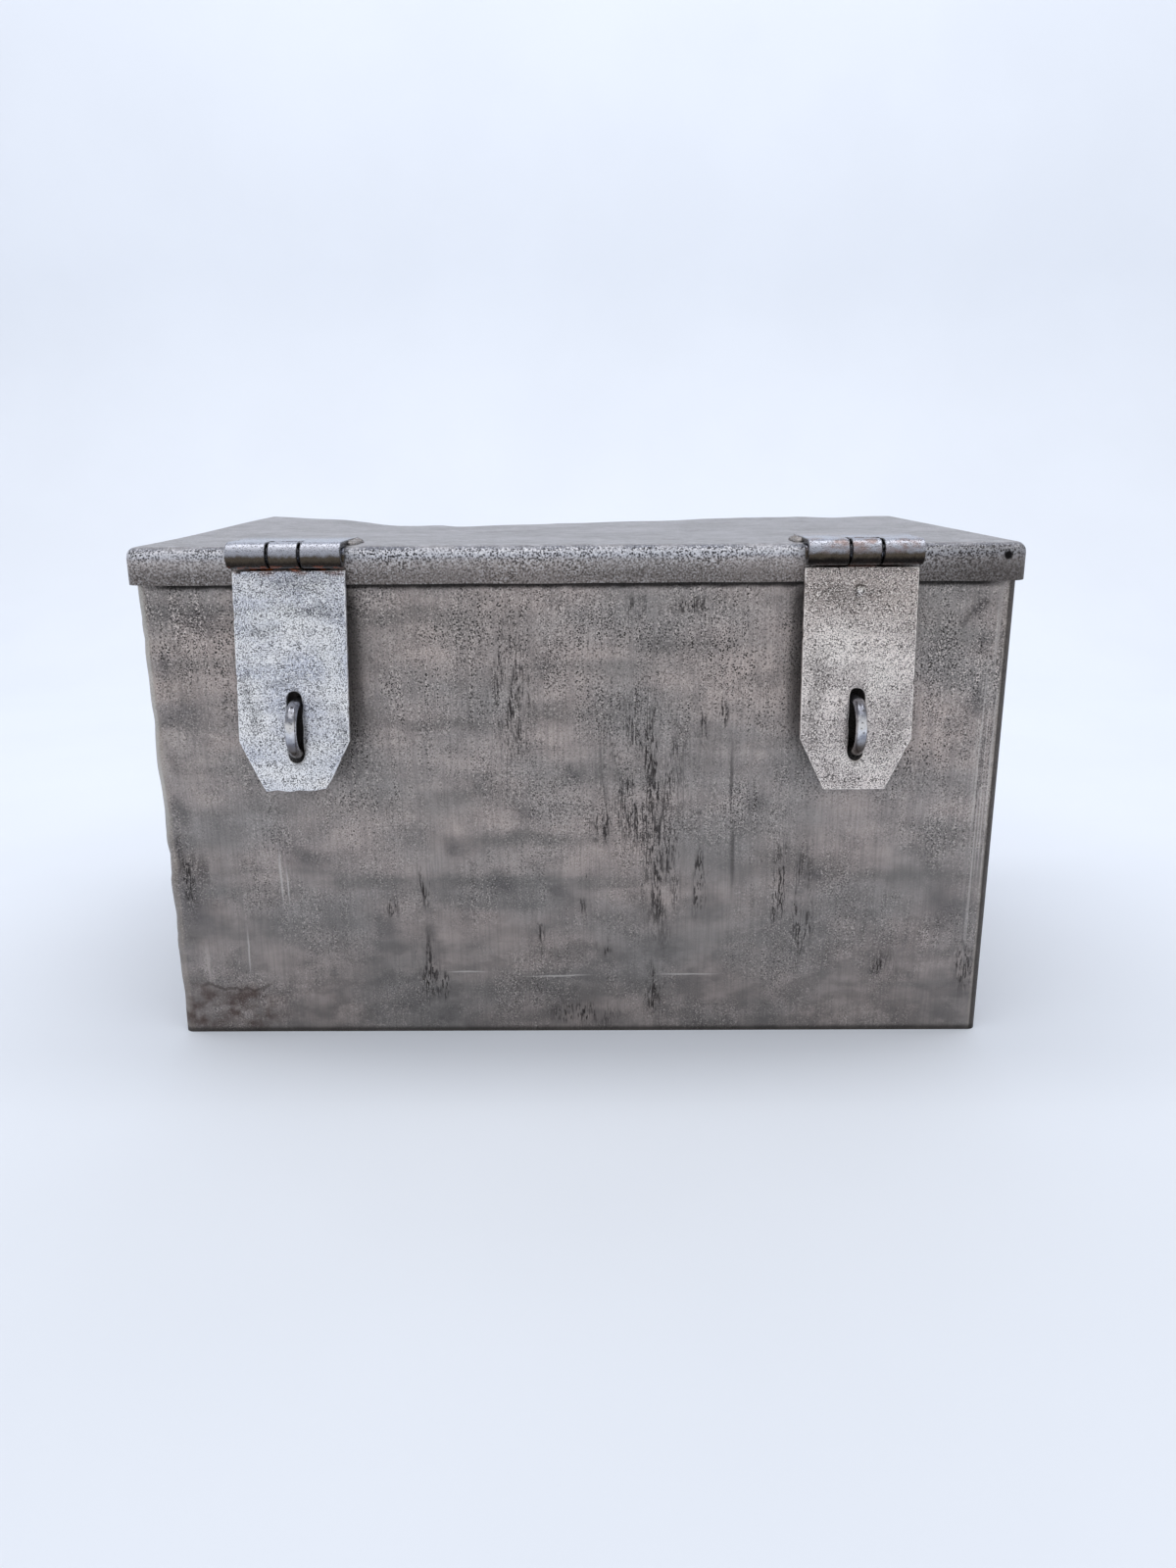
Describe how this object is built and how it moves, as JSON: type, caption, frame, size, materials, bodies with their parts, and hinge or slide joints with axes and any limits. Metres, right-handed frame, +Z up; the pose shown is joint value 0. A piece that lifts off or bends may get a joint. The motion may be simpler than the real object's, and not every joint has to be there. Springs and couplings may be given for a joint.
{
  "type": "steel storage box",
  "caption": "Rectangular raw sheet-steel storage box with a skirted lift-up lid, rear hinges, and slotted hasp straps that hang over bent-rod staples for padlocks.",
  "frame": {"origin": "middle of the flat base, on the floor that the box stands on", "axes": "+X to the right seen from the front, +Y from the hasps to the rear hinges, +Z up"},
  "size_m": [0.508, 0.3483, 0.3052],
  "materials": {
    "body_sheet": "raw worn steel sheet, mottled, speckled and streaked",
    "lid_sheet": "raw worn steel sheet, darker and pitted",
    "bright_bar": "raw flat bar, bright, with dark pits",
    "warm_bar": "raw flat bar, warmer and darker, with dark pits",
    "hinge_bar": "raw rolled bar, dark with worn edges and rust in the crevices",
    "round_rod": "drawn rod, polished by handling",
    "weld_bead": "rippled weld metal with heat tint"
  },
  "bodies": {
    "box": {"body_wrap": "body_sheet", "back_panel": "body_sheet", "bottom_pan": "body_sheet", "hasp_staple_left": "round_rod", "hasp_staple_right": "round_rod", "staple_welds": "weld_bead", "hinge_body_leaf_left": "hinge_bar", "hinge_body_leaf_right": "hinge_bar", "hinge_pin_left": "round_rod", "hinge_pin_right": "round_rod", "hinge_body_welds": "weld_bead"},
    "lid": {"lid_shell": "lid_sheet", "hasp_leaf_left": "hinge_bar", "hasp_leaf_right": "hinge_bar", "hasp_pin_left": "round_rod", "hasp_pin_right": "round_rod", "hasp_leaf_welds": "weld_bead", "hinge_lid_leaf_left": "hinge_bar", "hinge_lid_leaf_right": "hinge_bar", "hinge_lid_welds": "weld_bead"},
    "hasp_left": {"hasp_strap_left": "bright_bar"},
    "hasp_right": {"hasp_strap_right": "warm_bar"}
  },
  "joints": [
    {"name": "lid_hinge", "type": "hinge", "parent": "box", "child": "lid", "pos_m": [0, 0.15973, 0.278], "axis": [-1, 0, 0], "range_deg": [0, 217]},
    {"name": "hasp_left_swing", "type": "hinge", "parent": "lid", "child": "hasp_left", "pos_m": [-0.16002, -0.16003, 0.29797], "axis": [-1, 0, 0], "range_deg": [-5, 238]},
    {"name": "hasp_right_swing", "type": "hinge", "parent": "lid", "child": "hasp_right", "pos_m": [0.16002, -0.16003, 0.29797], "axis": [-1, 0, 0], "range_deg": [-5, 238]}
  ]
}
